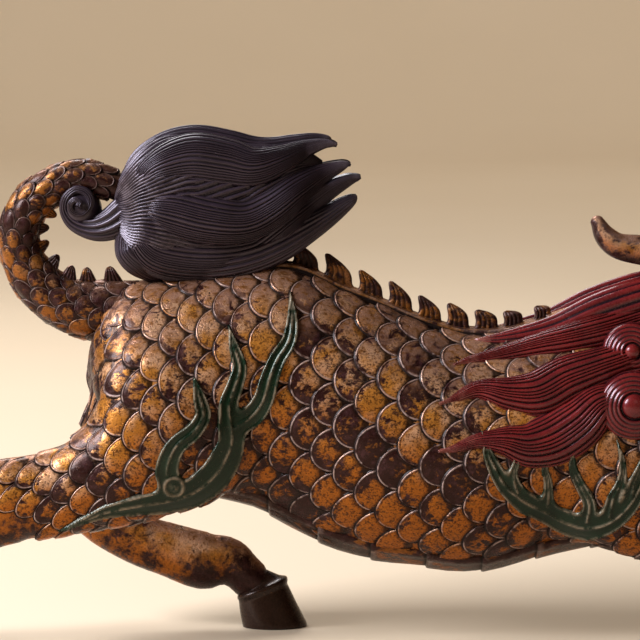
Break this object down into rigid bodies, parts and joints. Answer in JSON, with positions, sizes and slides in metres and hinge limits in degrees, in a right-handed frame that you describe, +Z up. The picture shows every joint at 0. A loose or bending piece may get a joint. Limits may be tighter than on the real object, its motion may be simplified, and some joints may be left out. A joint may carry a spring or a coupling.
{
  "type": "qilin figure",
  "caption": "Cast figure of a galloping scaled qilin with a curled, tufted tail, a finned back, a flowing mane, flame ornament on its flanks and a swept-back horn.",
  "frame": {"origin": "middle of the figure's bounding box, on the ground that the hooves stand on", "axes": "+X from the tail to the head, +Z up, +Y to the figure's left"},
  "size_m": [0.32, 0.0638, 0.1529],
  "materials": {
    "gilt_scales": "worn gilding over dark purple-brown lacquer, glossy",
    "red_mane": "deep red lacquer with dark grooves, glossy",
    "black_tuft": "near-black lacquer with dust in the grooves, satin",
    "green_flames": "dark green lacquer with worn edges, glossy",
    "dark_hooves": "dark brown lacquer, satin",
    "pale_teeth": "ivory-coloured lacquer on teeth and eyes, glossy"
  },
  "bodies": {
    "root": {"qilin": "gilt_scales"}
  },
  "joints": []
}
